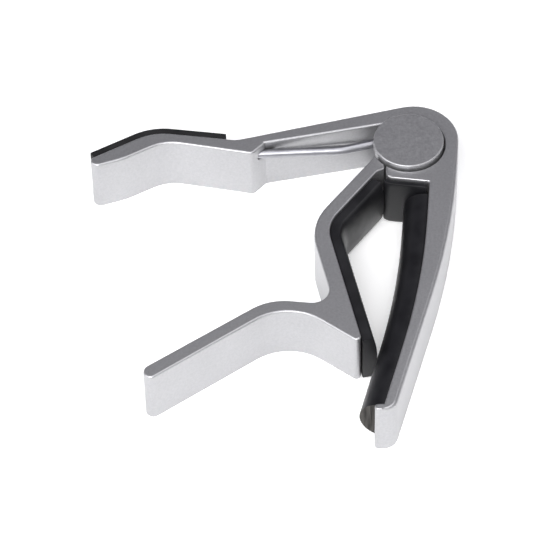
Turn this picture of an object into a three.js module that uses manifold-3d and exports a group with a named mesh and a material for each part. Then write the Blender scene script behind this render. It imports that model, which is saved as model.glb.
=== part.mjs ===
// A spring clamp that shortens the strings of a guitar: a frame with a grip and a curved jaw,
// and a lever with a handle and a second jaw, turning on a pin under a round cap.
// Millimetres, +Z up. The origin is on the turning axis, in the flat plane the clamp lies on.
import * as THREE from 'three';
import { mergeVertices } from 'three/addons/utils/BufferGeometryUtils.js';
import Module from 'manifold-3d';

const wasm = await Module();
wasm.setup();

// ---- driving dimensions ----------------------------------------------------------------

const THICKNESS = 13; // height of both castings
const CHORD_ERROR = 0.02; // how far a flat facet may stand off a true curve
const OVER = 1; // how far a cutting shape reaches past what it cuts

// head and pivot
const HEAD_RADIUS = 10.4; // from the turning axis to the arm's back and the jaw's outside
const HEAD_CORNER = 9.3; // rounding between those two
const POCKET_RADIUS = 7.7;
const FLOOR = 2.2; // floor left under the pocket
const PIN_RADIUS = 2.5;
const PIN_HEAD_RADIUS = 4.2;
const PIN_HEAD_HEIGHT = 1.0;
const PIN_CHAMFER = 0.3;
const RUNNING_GAP = 0.06; // radial clearance of what turns
const FACE_GAP = 0.05; // clearance between stacked faces
const SEAT_GAP = 0.1; // clearance round what is pressed or glued in place
const BUSH_WALL = 0.44;
const LOWER_WASHER = 0.4;
const LOWER_WASHER_RADIUS = 7.2;
const HUB_RADIUS = 7.4;
const HUB_DISC = 1.5;
const UPPER_WASHER = 0.3;
const UPPER_WASHER_RADIUS = 5.3;
const CLIP_THICKNESS = 0.35;
const CLIP_RADIUS = 3.9;
const CLIP_GROOVE_RADIUS = 2.1;
const CLIP_SLOT_WIDTH = 2.4;
const CAP_RADIUS = 7.3;
const CAP_RISE = 1.2; // how far the cap stands over the castings
const CAP_EDGE = 0.35; // rounding of its top edge
const CAP_SKIN = 0.9; // metal left over the end of the pin

// torsion spring
const WIRE = 1.9; // wire diameter
const COIL_GAP = 0.45; // between the bush and the coil
const COIL_CLEARANCE = 0.4; // between the coil and the bore round it
const COIL_TURNS = 2.49;
const TURN_GAP = 0.08; // between one turn and the next
const LEG_CORNER = [-13.8, 1.094]; // where the long leg bends along the arm
const LEG_BEND = 16; // radius of that bend
const LEG_END = [-32.6, 0.6];
const LEG_HOLE_MOUTH = 3.2; // how far the hole reaches out of the step, clear of its sloping wall
const LEG_HOLE_GAP = 0.1;
const TANG_BEND = 0.74 * WIRE; // bend radius of the short end
const TANG_DEPTH = 1.1; // how far the short end stands in the hub disc
const TANG_HOLE_GAP = 0.2;
// facets of the wire: spacing of the long leg's points, points in a turn and in the short
// end's bend, length of one facet, and facets in half of the round section
const WIRE_FACETS = { spacing: 2.5, perTurn: 14, perBend: 4, length: 1.35, round: 5 };

// frame casting, seen from above: each line is a point on it and its heading in degrees
const ARM_SLOPE = 13.06;
const GRIP_REACH = 66.2; // from the pivot to the grip's end
const GRIP_BACK_INNER = line(-47, 4.15, -9.03);
const GRIP_BACK_OUTER = line(-60, 1.54, 28.2);
const GRIP_FRONT_END = line(-62, -3.13, 17.4);
const GRIP_FRONT_OUTER = line(-57, -1.05, 28);
const GRIP_FRONT_INNER = line(-40, -0.02, -12.4);
const STEP = line(-31.3, -0.35, 47);
const ARM_FRONT = line(-29.5, 1.25, 10.26);
const ARM_FRONT_END_X = -4.8; // where it ends, inside the pocket
const GRIP_CROWN = { back: 11, front: 9 }; // radii of the grip's hump
const GRIP_WAIST = 12;
const GRIP_VALLEY = 5;
const GRIP_CORNER = 1.5;
const GRIP_BACK_CORNER = 0.9;
const STEP_OUTER = 1.1;
const STEP_INNER = 1;
const HEAD_FACE_SLOPE = -9.25;
const HEAD_FACE = line(0, -9.85, HEAD_FACE_SLOPE); // the head's lower wall, over the strings
const HEAD_END_X = -4.95;
const HEAD_END_RADIUS = 1.6;
const INNER_CORNER = 0.5;

// fretboard jaw
const JAW_REACH = 69.2; // from the pivot to the tip
const JAW_OUTER_ROOT_SLOPE = 86;
const JAW_OUTER_TIP = line(0, -51, 73.3);
const JAW_OUTER_BEND = 180;
const JAW_INNER_ROOT = line(3.9, -10.8, 84.46);
const JAW_INNER_TIP = line(-3.6, -54, 74);
const JAW_INNER_BEND = 175;
const TIP_RADIUS = 3;
const LIP_THICKNESS = 1.6;
const LIP_X = -9.45;
const LIP_RADIUS = 0.75;

// recess along the arm, over the spring's long leg
const RECESS_DEPTH = 0.8;
const RECESS_FLOOR = 10.1; // height of its back edge at the step
const RECESS_FALL = 0.1166; // fall of that edge towards the head, per millimetre
const RECESS_LENGTH = 26;
const RECESS_LEAN = 0.1515; // lean of its back wall
const RECESS_LEDGE = 0.57; // slope of its lower face
const RECESS_SKEW = 2.1; // its heading against the arm's back, degrees
const RECESS_SET_IN = 0.3; // shallower by this at the step
const RECESS_CUT = { front: 3, up: 6 }; // how far its cutting shape reaches out of the arm

// lever casting
const LEVER_REACH = 54.9; // from the pivot to the handle's end
const NECK_OUTER = line(-12, -9.3, 52.26);
const NECK_INNER = line(-12, -14.08, 52.54);
const NECK_TURN = line(-5.2, -6.55, 27);
const BAR_OUTER = line(-19.9, -27.4, -78.2);
const BAR_INNER = line(-16.25, -28, -78.3);
const HANDLE_BACK_INNER = line(-22, -41.6, -7.4);
const HANDLE_BACK_OUTER = line(-44, -50.05, 33.7);
const HANDLE_FRONT_OUTER = line(-44, -53.83, 34.3);
const HANDLE_FRONT_INNER = line(-17, -48.34, -38);
const ELBOW_OUTER = 13;
const ELBOW_INNER = 8;
const HANDLE_ROOT_RADIUS = 3.3;
const HANDLE_CROWN = { back: 11, front: 11 };
const HANDLE_END_RADIUS = { back: 1.7, front: 1.5 };
const BAR_END_RADIUS = 0.9;
const NECK_TURN_RADIUS = 1.5;
const LEVER_CLEARANCE = 0.35; // between the lever and the head and pocket of the frame
const LEVER_ROOT = { x: -2, y: -4, outerX: -4.2, innerY: -4.9 }; // its outline closes over the hub

// rubber
const FRET_PAD_SPACE = { head: 2.6, lip: 0.3 }; // left free at the pad's two ends
const FRET_PAD = { width: 9.6, edge: 0.9, crown: 5.1 };
const NECK_PAD = { width: 12, edge: 1.9, crown: 3 };
const NECK_PAD_ENDS = { top: -8.8, bottom: -51.6 }; // heights on the lever's inner face
const HEAD_PAD = { width: 12, edge: 1.1, crown: 1.5 };
const HEAD_PAD_RIGHT = 3.4;
const HEAD_PAD_WRAP = 38; // how far it goes round the end of the head, degrees
const GRIP_PAD = { width: 12.2, edge: 1.5, crown: 1.75 };
const GRIP_PAD_RIGHT = -38.2;
const GRIP_PAD_INSET = 0.6; // left bare at the grip's end
const CROWN_FLAT = 2; // width of the flat along each pad's crest
const PAD_FACETS = { spacing: 3, length: 2, headLength: 0.6, round: 3 };

// ---- heights of the stack under the cap --------------------------------------------------

const WASHER_BOTTOM = FLOOR + FACE_GAP;
const HUB_BOTTOM = WASHER_BOTTOM + LOWER_WASHER + FACE_GAP;
const HUB_TOP = HUB_BOTTOM + HUB_DISC;
const COIL_BOTTOM = HUB_TOP + FACE_GAP + WIRE / 2;
const COIL_PITCH = WIRE + TURN_GAP;
const COIL_TOP = COIL_BOTTOM + COIL_TURNS * COIL_PITCH;
const UPPER_WASHER_BOTTOM = COIL_TOP + WIRE / 2 + FACE_GAP;
const CLIP_BOTTOM = UPPER_WASHER_BOTTOM + UPPER_WASHER + FACE_GAP;
const CAP_BOTTOM = CLIP_BOTTOM + CLIP_THICKNESS + FACE_GAP;
const CAP_TOP = THICKNESS + CAP_RISE;
const PIN_TOP = CAP_TOP - CAP_SKIN - SEAT_GAP;
const BUSH_INNER = PIN_RADIUS + RUNNING_GAP;
const BUSH_OUTER = BUSH_INNER + BUSH_WALL;
const BUSH_TOP = UPPER_WASHER_BOTTOM - FACE_GAP;
const HUB_BORE = BUSH_OUTER + RUNNING_GAP;
const COIL_RADIUS = BUSH_OUTER + COIL_GAP + WIRE / 2; // to the middle of the wire
const LEG_ANGLE = THREE.MathUtils.radToDeg( // heading of the long leg as it leaves the coil
  Math.atan2(LEG_CORNER[1], LEG_CORNER[0]) + Math.asin(COIL_RADIUS / Math.hypot(...LEG_CORNER)),
);
const COIL_SPACE = COIL_RADIUS + WIRE / 2 + COIL_CLEARANCE; // bored out of the lever

// ---- plane geometry ------------------------------------------------------------------------

function line(x, y, degrees) {
  const angle = THREE.MathUtils.degToRad(degrees);
  return { x, y, dx: Math.cos(angle), dy: Math.sin(angle) };
}

// A line at a distance from the pivot, on the left of its heading when the distance is negative.
function tangentLine(degrees, distance) {
  const angle = THREE.MathUtils.degToRad(degrees);
  return line(Math.sin(angle) * distance, -Math.cos(angle) * distance, degrees);
}

function meet(a, b) {
  const cross = a.dx * b.dy - a.dy * b.dx;
  const t = ((b.x - a.x) * b.dy - (b.y - a.y) * b.dx) / cross;
  return new THREE.Vector2(a.x + a.dx * t, a.y + a.dy * t);
}

const atX = (l, x) => new THREE.Vector2(x, l.y + ((x - l.x) * l.dy) / l.dx);
const atY = (l, y) => new THREE.Vector2(l.x + ((y - l.y) * l.dx) / l.dy, y);
const corner = (point, radius = 0) => ({ point, radius });

// Points round one corner: the corner itself, or an arc that touches both of its sides.
function cornerPoints(before, { point, radius }, after) {
  if (radius === 0) return [point];
  const towards = new THREE.Vector2().subVectors(before, point).normalize();
  const away = new THREE.Vector2().subVectors(after, point).normalize();
  const half = Math.acos(THREE.MathUtils.clamp(towards.dot(away), -1, 1)) / 2;
  const middle = towards.clone().add(away).normalize();
  const centre = point.clone().addScaledVector(middle, radius / Math.sin(half));
  const start = point.clone().addScaledVector(towards, radius / Math.tan(half)).sub(centre);
  const turn = Math.sign(away.cross(towards)) * (Math.PI - 2 * half);
  const steps = Math.max(2, Math.ceil(Math.abs(turn) / (2 * Math.acos(1 - CHORD_ERROR / radius))));
  const origin = new THREE.Vector2();
  return Array.from({ length: steps + 1 }, (_, i) =>
    start.clone().rotateAround(origin, (turn * i) / steps).add(centre));
}

// A closed outline with rounded corners.
function outline(corners) {
  const count = corners.length;
  return corners.flatMap((c, i) =>
    cornerPoints(corners[(i + count - 1) % count].point, c, corners[(i + 1) % count].point));
}

// An open path with rounded corners, its two ends left square.
function openPath(corners) {
  return corners.flatMap((c, i) =>
    i === 0 || i === corners.length - 1
      ? [c.point]
      : cornerPoints(corners[i - 1].point, c, corners[i + 1].point));
}

// ---- solids --------------------------------------------------------------------------------

function toSolid(geometry) {
  const bare = geometry.clone();
  bare.deleteAttribute('normal');
  bare.deleteAttribute('uv');
  const merged = mergeVertices(bare, 1e-4);
  const corners = merged.index.array;
  const triVerts = [];
  for (let i = 0; i < corners.length; i += 3) {
    const [a, b, c] = corners.slice(i, i + 3);
    if (a !== b && b !== c && c !== a) triVerts.push(a, b, c);
  }
  return new wasm.Manifold(new wasm.Mesh({
    numProp: 3,
    vertProperties: Float32Array.from(merged.attributes.position.array),
    triVerts: Uint32Array.from(triVerts),
  }));
}

function toGeometry(solid) {
  const mesh = solid.getMesh();
  const geometry = new THREE.BufferGeometry();
  geometry.setAttribute('position', new THREE.BufferAttribute(mesh.vertProperties, 3));
  geometry.setIndex(new THREE.BufferAttribute(mesh.triVerts, 1));
  geometry.computeVertexNormals();
  return geometry;
}

function prism(points, bottom, top) {
  const geometry = new THREE.ExtrudeGeometry(new THREE.Shape(points), {
    depth: top - bottom,
    bevelEnabled: false,
  });
  return geometry.translate(0, 0, bottom);
}

function roundSides(radius) {
  return Math.ceil(Math.PI / Math.acos(1 - CHORD_ERROR / radius));
}

// A turned piece: its profile is [radius, height] points, anticlockwise, about the Z axis.
// A profile that starts and ends on the axis is left open there.
function turned(profile) {
  const closed = profile[0][0] === 0 ? profile : [...profile, profile[0]];
  const points = closed.map(([r, z]) => new THREE.Vector2(r, z));
  const widest = Math.max(...profile.map(([r]) => r));
  const geometry = new THREE.LatheGeometry(points, roundSides(widest));
  return toGeometry(toSolid(geometry.rotateX(Math.PI / 2)));
}

const ringProfile = (inner, outer, bottom, top) =>
  [[inner, bottom], [outer, bottom], [outer, top], [inner, top]];

const disc = (radius, bottom, top) =>
  toSolid(turned([[0, bottom], [radius, bottom], [radius, top], [0, top]]));

// A strip of rubber with a crowned section, laid along a path on the left of its heading.
function padAlong(corners, { width, edge, crown }, length = PAD_FACETS.length) {
  const rise = crown - edge;
  const reach = (width - CROWN_FLAT) / 2;
  const section = new THREE.Shape();
  section.moveTo(-width / 2, 0);
  section.lineTo(width / 2, 0);
  section.lineTo(width / 2, edge);
  section.absellipse(CROWN_FLAT / 2, edge, reach, rise, 0, Math.PI / 2, false, 0);
  section.lineTo(-CROWN_FLAT / 2, crown);
  section.absellipse(-CROWN_FLAT / 2, edge, reach, rise, Math.PI / 2, Math.PI, false, 0);
  const points = openPath(corners).map((p) => new THREE.Vector3(p.x, p.y, THICKNESS / 2));
  const path = new THREE.CatmullRomCurve3(spread(points, PAD_FACETS.spacing));
  return new THREE.ExtrudeGeometry(section, {
    extrudePath: path,
    steps: Math.ceil(path.getLength() / length),
    curveSegments: PAD_FACETS.round,
    bevelEnabled: false,
  });
}

// Adds points to the long straight stretches of a path, so that a smooth curve keeps to them.
function spread(points, spacing) {
  return points.flatMap((p, i) => {
    if (i === 0) return [p];
    const before = points[i - 1];
    const pieces = Math.ceil(before.distanceTo(p) / spacing);
    return Array.from({ length: pieces }, (_, k) => before.clone().lerp(p, (k + 1) / pieces));
  });
}

// Moves a line sideways, to the left of its heading.
const offset = (l, distance) =>
  ({ ...l, x: l.x - l.dy * distance, y: l.y + l.dx * distance });

// ---- frame casting -------------------------------------------------------------------------

const armBack = tangentLine(ARM_SLOPE, -HEAD_RADIUS);
const jawOuterRoot = tangentLine(JAW_OUTER_ROOT_SLOPE, HEAD_RADIUS);
const lipTop = line(0, LIP_THICKNESS - JAW_REACH, 0);
const tipEnd = line(0, -JAW_REACH, 0);

function frameGeometry() {
  const corners = [
    corner(meet(armBack, jawOuterRoot), HEAD_CORNER),
    corner(meet(armBack, GRIP_BACK_INNER), GRIP_VALLEY),
    corner(meet(GRIP_BACK_INNER, GRIP_BACK_OUTER), GRIP_CROWN.back),
    corner(atX(GRIP_BACK_OUTER, -GRIP_REACH), GRIP_BACK_CORNER),
    corner(atX(GRIP_FRONT_END, -GRIP_REACH), GRIP_CORNER),
    corner(meet(GRIP_FRONT_END, GRIP_FRONT_OUTER), GRIP_WAIST),
    corner(meet(GRIP_FRONT_OUTER, GRIP_FRONT_INNER), GRIP_CROWN.front),
    corner(meet(GRIP_FRONT_INNER, STEP), STEP_OUTER),
    corner(meet(STEP, ARM_FRONT), STEP_INNER),
    corner(atX(ARM_FRONT, ARM_FRONT_END_X)),
    corner(new THREE.Vector2(HEAD_END_X, -POCKET_RADIUS / 2)),
    corner(atX(HEAD_FACE, HEAD_END_X), HEAD_END_RADIUS),
    corner(meet(HEAD_FACE, JAW_INNER_ROOT), INNER_CORNER),
    corner(meet(JAW_INNER_ROOT, JAW_INNER_TIP), JAW_INNER_BEND),
    corner(meet(JAW_INNER_TIP, lipTop)),
    corner(atX(lipTop, LIP_X), LIP_RADIUS),
    corner(atX(tipEnd, LIP_X), LIP_RADIUS),
    corner(meet(tipEnd, JAW_OUTER_TIP), TIP_RADIUS),
    corner(meet(JAW_OUTER_TIP, jawOuterRoot), JAW_OUTER_BEND),
  ];
  return toSolid(prism(outline(corners), 0, THICKNESS))
    .add(disc(POCKET_RADIUS, 0, FLOOR))
    .subtract(disc(POCKET_RADIUS, FLOOR, THICKNESS + OVER))
    .subtract(disc(PIN_HEAD_RADIUS + SEAT_GAP, -OVER, PIN_HEAD_HEIGHT + FACE_GAP))
    .subtract(disc(PIN_RADIUS + SEAT_GAP, 0, FLOOR + OVER))
    .subtract(toSolid(recessCutter()))
    .subtract(toSolid(legHoleCutter()));
}

// The recess is a leaning wall over a sloping ledge, run along the arm and falling to the head.
function recessCutter() {
  const ledge = (depth) => RECESS_FLOOR + (depth - RECESS_DEPTH) * RECESS_LEDGE;
  const front = -RECESS_CUT.front;
  const section = new THREE.Shape([
    new THREE.Vector2(front, ledge(front)),
    new THREE.Vector2(RECESS_DEPTH, RECESS_FLOOR),
    new THREE.Vector2(RECESS_DEPTH - RECESS_CUT.up * RECESS_LEAN, RECESS_FLOOR + RECESS_CUT.up),
    new THREE.Vector2(front, RECESS_FLOOR + RECESS_CUT.up),
  ]);
  const start = meet(STEP, ARM_FRONT);
  const along = line(start.x, start.y, ARM_SLOPE - RECESS_SKEW);
  const placed = new THREE.Matrix4().makeBasis(
    new THREE.Vector3(-along.dy, along.dx, 0),
    new THREE.Vector3(0, 0, 1),
    new THREE.Vector3(along.dx, along.dy, -RECESS_FALL),
  ).setPosition(start.x, start.y - RECESS_SET_IN, 0);
  return new THREE.ExtrudeGeometry(section, { depth: RECESS_LENGTH, bevelEnabled: false })
    .applyMatrix4(placed);
}

// The blind hole in the step that holds the end of the spring's long leg.
function legHoleCutter() {
  const [x, y] = LEG_END;
  const radius = WIRE / 2 + LEG_HOLE_GAP;
  const bottom = x - LEG_HOLE_GAP;
  const mouth = STEP.x + LEG_HOLE_MOUTH;
  return new THREE.CylinderGeometry(radius, radius, mouth - bottom, roundSides(radius))
    .rotateZ(Math.PI / 2)
    .translate((mouth + bottom) / 2, y, COIL_TOP);
}

// ---- lever casting -------------------------------------------------------------------------

function leverGeometry() {
  const corners = [
    corner(new THREE.Vector2(LEVER_ROOT.x, LEVER_ROOT.y)),
    corner(atX(NECK_OUTER, LEVER_ROOT.outerX)),
    corner(meet(NECK_OUTER, BAR_OUTER), ELBOW_OUTER),
    corner(meet(BAR_OUTER, HANDLE_BACK_INNER), HANDLE_ROOT_RADIUS),
    corner(meet(HANDLE_BACK_INNER, HANDLE_BACK_OUTER), HANDLE_CROWN.back),
    corner(atX(HANDLE_BACK_OUTER, -LEVER_REACH), HANDLE_END_RADIUS.back),
    corner(atX(HANDLE_FRONT_OUTER, -LEVER_REACH), HANDLE_END_RADIUS.front),
    corner(meet(HANDLE_FRONT_OUTER, HANDLE_FRONT_INNER), HANDLE_CROWN.front),
    corner(meet(HANDLE_FRONT_INNER, BAR_INNER), BAR_END_RADIUS),
    corner(meet(BAR_INNER, NECK_INNER), ELBOW_INNER),
    corner(meet(NECK_INNER, NECK_TURN), NECK_TURN_RADIUS),
    corner(atX(NECK_TURN, HEAD_END_X - LEVER_CLEARANCE)),
    corner(new THREE.Vector2(HEAD_END_X - LEVER_CLEARANCE, LEVER_ROOT.innerY)),
  ];
  const tang = springTang();
  const tangHole = disc(WIRE / 2 + TANG_HOLE_GAP, HUB_BOTTOM - OVER, HUB_TOP + OVER);
  return toSolid(prism(outline(corners), 0, THICKNESS))
    .subtract(disc(POCKET_RADIUS + LEVER_CLEARANCE, -OVER, HUB_BOTTOM))
    .subtract(disc(COIL_SPACE, HUB_TOP, THICKNESS + OVER))
    .subtract(disc(POCKET_RADIUS, CAP_BOTTOM - LEVER_CLEARANCE, THICKNESS + OVER))
    .add(disc(HUB_RADIUS, HUB_BOTTOM, HUB_TOP))
    .subtract(disc(HUB_BORE, HUB_BOTTOM - OVER, HUB_TOP + OVER))
    .subtract(tangHole.translate([tang.x, tang.y, 0]));
}

// ---- pieces under the cap ------------------------------------------------------------------

function pinGeometry() {
  const grooveTop = CLIP_BOTTOM + CLIP_THICKNESS + FACE_GAP;
  const grooveBottom = CLIP_BOTTOM - FACE_GAP;
  return turned([
    [0, 0],
    [PIN_HEAD_RADIUS, 0],
    [PIN_HEAD_RADIUS, PIN_HEAD_HEIGHT],
    [PIN_RADIUS, PIN_HEAD_HEIGHT],
    [PIN_RADIUS, grooveBottom],
    [CLIP_GROOVE_RADIUS, grooveBottom],
    [CLIP_GROOVE_RADIUS, grooveTop],
    [PIN_RADIUS, grooveTop],
    [PIN_RADIUS, PIN_TOP - PIN_CHAMFER],
    [PIN_RADIUS - PIN_CHAMFER, PIN_TOP],
    [0, PIN_TOP],
  ]);
}

function capGeometry() {
  const bore = PIN_RADIUS + SEAT_GAP;
  const rounding = [0, 1, 2, 3].map((i) => {
    const angle = (i / 3) * (Math.PI / 2);
    return [
      CAP_RADIUS - CAP_EDGE + CAP_EDGE * Math.cos(angle),
      CAP_TOP - CAP_EDGE + CAP_EDGE * Math.sin(angle),
    ];
  });
  return turned([
    [0, CAP_TOP - CAP_SKIN],
    [bore, CAP_TOP - CAP_SKIN],
    [bore, CAP_BOTTOM],
    [CAP_RADIUS, CAP_BOTTOM],
    ...rounding,
    [0, CAP_TOP],
  ]);
}

// A split ring that snaps into the groove of the pin.
function clipGeometry() {
  const inner = CLIP_GROOVE_RADIUS + SEAT_GAP;
  const top = CLIP_BOTTOM + CLIP_THICKNESS;
  const ring = toSolid(turned(ringProfile(inner, CLIP_RADIUS, CLIP_BOTTOM, top)));
  const slot = new THREE.BoxGeometry(CLIP_RADIUS + OVER, CLIP_SLOT_WIDTH, 2 * OVER);
  slot.translate((CLIP_RADIUS + OVER) / 2, 0, CLIP_BOTTOM);
  return ring.subtract(toSolid(slot));
}

// The short end of the spring: where it turns down, and where it stands in the hub disc.
function springTang() {
  const departure = THREE.MathUtils.degToRad(LEG_ANGLE - 90 - 360 * COIL_TURNS);
  const start = new THREE.Vector2(Math.cos(departure), Math.sin(departure))
    .multiplyScalar(COIL_RADIUS);
  const heading = new THREE.Vector2(Math.sin(departure), -Math.cos(departure));
  const foot = start.clone().addScaledVector(heading, TANG_BEND);
  return { start, heading, x: foot.x, y: foot.y };
}

// Middle line of the wire: long leg, bend, close coil going down clockwise, and short end.
function springPath() {
  const points = [];
  const first = THREE.MathUtils.degToRad(LEG_ANGLE - 90);
  const tangent = line(COIL_RADIUS * Math.cos(first), COIL_RADIUS * Math.sin(first), LEG_ANGLE);
  const bend = new THREE.Vector2(...LEG_CORNER);
  const end = new THREE.Vector2(...LEG_END);
  const flat = (p) => new THREE.Vector3(p.x, p.y, COIL_TOP);
  const leaves = new THREE.Vector2(tangent.x, tangent.y);
  const leg = openPath([corner(end), corner(bend, LEG_BEND), corner(leaves)]);
  points.push(...spread(leg.slice(0, -1).map(flat), WIRE_FACETS.spacing));
  const last = points[points.length - 1];
  points.push(last.clone().lerp(flat(tangent), 1 / 3), last.clone().lerp(flat(tangent), 2 / 3));
  const steps = Math.round(COIL_TURNS * WIRE_FACETS.perTurn);
  for (let i = 0; i <= steps; i++) {
    const turn = (i / steps) * COIL_TURNS;
    const angle = first - turn * 2 * Math.PI;
    points.push(new THREE.Vector3(
      COIL_RADIUS * Math.cos(angle),
      COIL_RADIUS * Math.sin(angle),
      COIL_TOP - turn * COIL_PITCH,
    ));
  }
  const tang = springTang();
  for (let i = 1; i <= WIRE_FACETS.perBend; i++) {
    const angle = (i / WIRE_FACETS.perBend) * (Math.PI / 2);
    const along = tang.start.clone().addScaledVector(tang.heading, TANG_BEND * Math.sin(angle));
    points.push(new THREE.Vector3(along.x, along.y, COIL_BOTTOM - TANG_BEND * (1 - Math.cos(angle))));
  }
  points.push(new THREE.Vector3(tang.x, tang.y, HUB_TOP - TANG_DEPTH));
  return new THREE.CatmullRomCurve3(points);
}

function springGeometry() {
  const section = new THREE.Shape();
  section.absarc(0, 0, WIRE / 2, 0, 2 * Math.PI);
  const path = springPath();
  return new THREE.ExtrudeGeometry(section, {
    extrudePath: path,
    steps: Math.round(path.getLength() / WIRE_FACETS.length),
    curveSegments: WIRE_FACETS.round,
    bevelEnabled: false,
  });
}

// ---- rubber --------------------------------------------------------------------------------

// The pads lie on faces of the castings, each with a line of glue under it.
function fretPadGeometry() {
  const tip = offset(JAW_INNER_TIP, SEAT_GAP);
  const root = offset(JAW_INNER_ROOT, SEAT_GAP);
  return padAlong([
    corner(atY(tip, LIP_THICKNESS - JAW_REACH + FRET_PAD_SPACE.lip + SEAT_GAP)),
    corner(meet(tip, root), JAW_INNER_BEND - SEAT_GAP),
    corner(atY(root, HEAD_FACE.y - FRET_PAD_SPACE.head)),
  ], FRET_PAD);
}

function neckPadGeometry() {
  const neck = offset(NECK_INNER, -SEAT_GAP);
  const bar = offset(BAR_INNER, SEAT_GAP);
  return padAlong([
    corner(atY(neck, NECK_PAD_ENDS.top)),
    corner(meet(neck, bar), ELBOW_INNER - SEAT_GAP),
    corner(atY(bar, NECK_PAD_ENDS.bottom)),
  ], NECK_PAD);
}

function headPadGeometry() {
  const face = offset(HEAD_FACE, -SEAT_GAP);
  const radius = HEAD_END_RADIUS + SEAT_GAP;
  const centre = line(HEAD_END_X + HEAD_END_RADIUS, 0, 90);
  const along = meet(offset(HEAD_FACE, HEAD_END_RADIUS), centre);
  const wrap = [0, 1, 2, 3].map((i) => {
    const angle = THREE.MathUtils.degToRad(HEAD_FACE_SLOPE - 90 - (i / 3) * HEAD_PAD_WRAP);
    return corner(new THREE.Vector2(
      along.x + radius * Math.cos(angle),
      along.y + radius * Math.sin(angle),
    ));
  });
  return padAlong([corner(atX(face, HEAD_PAD_RIGHT)), ...wrap], HEAD_PAD, PAD_FACETS.headLength);
}

function gripPadGeometry() {
  const outer = offset(GRIP_BACK_OUTER, SEAT_GAP);
  const inner = offset(GRIP_BACK_INNER, SEAT_GAP);
  return padAlong([
    corner(atX(outer, GRIP_PAD_INSET - GRIP_REACH)),
    corner(meet(outer, inner), GRIP_CROWN.back + SEAT_GAP),
    corner(atX(inner, GRIP_PAD_RIGHT)),
  ], GRIP_PAD);
}

// ---- materials and assembly ----------------------------------------------------------------

const satinMetal = new THREE.MeshStandardMaterial({
  name: 'satin_metal', color: 0xa9a8ae, roughness: 0.42, metalness: 0.9,
});
const brightSteel = new THREE.MeshStandardMaterial({
  name: 'bright_steel', color: 0xc9cacd, roughness: 0.18, metalness: 1,
});
const pinSteel = new THREE.MeshStandardMaterial({
  name: 'pin_steel', color: 0x9b9da1, roughness: 0.35, metalness: 1,
});
const blackRubber = new THREE.MeshStandardMaterial({
  name: 'black_rubber', color: 0x17171a, roughness: 0.7, metalness: 0,
});
const gripRubber = new THREE.MeshStandardMaterial({
  name: 'grip_rubber', color: 0x2b2b2d, roughness: 0.85, metalness: 0,
});
const nylon = new THREE.MeshStandardMaterial({
  name: 'nylon', color: 0xe6e2d6, roughness: 0.55, metalness: 0,
});

function named(name, shape, material) {
  const geometry = shape instanceof THREE.BufferGeometry ? shape : toGeometry(shape);
  const mesh = new THREE.Mesh(geometry, material);
  mesh.name = name;
  return mesh;
}

const ring = (...sizes) => turned(ringProfile(...sizes));

const frame = new THREE.Group();
frame.add(
  named('frame', frameGeometry(), satinMetal),
  named('fret_pad', fretPadGeometry(), blackRubber),
  named('head_pad', headPadGeometry(), blackRubber),
  named('grip_pad', gripPadGeometry(), gripRubber),
  named('pivot_pin', pinGeometry(), pinSteel),
  named('pivot_cap', capGeometry(), satinMetal),
  named('retaining_clip', clipGeometry(), brightSteel),
  named('pivot_bush', ring(BUSH_INNER, BUSH_OUTER, WASHER_BOTTOM, BUSH_TOP), nylon),
  named('lower_washer', ring(HUB_BORE, LOWER_WASHER_RADIUS, WASHER_BOTTOM,
    WASHER_BOTTOM + LOWER_WASHER), nylon),
  named('upper_washer', ring(BUSH_INNER, UPPER_WASHER_RADIUS, UPPER_WASHER_BOTTOM,
    UPPER_WASHER_BOTTOM + UPPER_WASHER), nylon),
  named('torsion_spring', springGeometry(), brightSteel),
);

const lever = new THREE.Group();
lever.add(
  named('trigger_lever', leverGeometry(), satinMetal),
  named('neck_pad', neckPadGeometry(), blackRubber),
);

const capo = new THREE.Group();
capo.add(frame, lever);

export default capo;
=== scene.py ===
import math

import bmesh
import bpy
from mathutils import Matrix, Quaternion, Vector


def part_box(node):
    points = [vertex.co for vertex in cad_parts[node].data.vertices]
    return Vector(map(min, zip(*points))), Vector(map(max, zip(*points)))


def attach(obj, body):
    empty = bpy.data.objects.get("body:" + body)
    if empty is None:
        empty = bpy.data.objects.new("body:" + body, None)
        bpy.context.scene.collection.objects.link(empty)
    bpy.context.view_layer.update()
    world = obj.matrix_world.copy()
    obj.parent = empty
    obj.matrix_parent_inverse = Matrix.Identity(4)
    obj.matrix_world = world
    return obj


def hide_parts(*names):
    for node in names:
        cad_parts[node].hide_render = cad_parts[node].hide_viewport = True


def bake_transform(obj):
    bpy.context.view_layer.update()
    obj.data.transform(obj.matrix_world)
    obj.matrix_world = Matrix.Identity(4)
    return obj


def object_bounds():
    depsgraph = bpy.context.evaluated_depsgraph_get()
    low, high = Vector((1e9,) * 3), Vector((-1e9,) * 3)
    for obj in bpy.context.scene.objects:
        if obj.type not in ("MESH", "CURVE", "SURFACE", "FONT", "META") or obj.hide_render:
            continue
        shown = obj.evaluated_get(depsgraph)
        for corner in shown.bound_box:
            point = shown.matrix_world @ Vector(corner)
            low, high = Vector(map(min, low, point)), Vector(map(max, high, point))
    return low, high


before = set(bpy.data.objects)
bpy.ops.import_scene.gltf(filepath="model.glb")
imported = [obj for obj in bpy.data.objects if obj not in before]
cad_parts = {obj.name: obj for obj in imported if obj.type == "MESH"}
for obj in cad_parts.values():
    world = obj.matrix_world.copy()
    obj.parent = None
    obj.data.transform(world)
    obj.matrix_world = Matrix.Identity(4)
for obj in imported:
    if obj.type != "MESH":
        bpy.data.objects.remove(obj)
cad_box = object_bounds()

# %% [markdown]
# # A spring clamp for a guitar neck
# A capo shortens the strings. One casting carries a grip and a long curved jaw that presses
# the strings down; the other is a bent lever that pushes from behind the neck. Both turn on a
# pin under a round cap, and a wire spring holds them closed. The solids that were just loaded
# have their real size and place. We could only colour them, but every edge on them is sharp,
# so we build a finer piece in the place of nearly each one.

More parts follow.
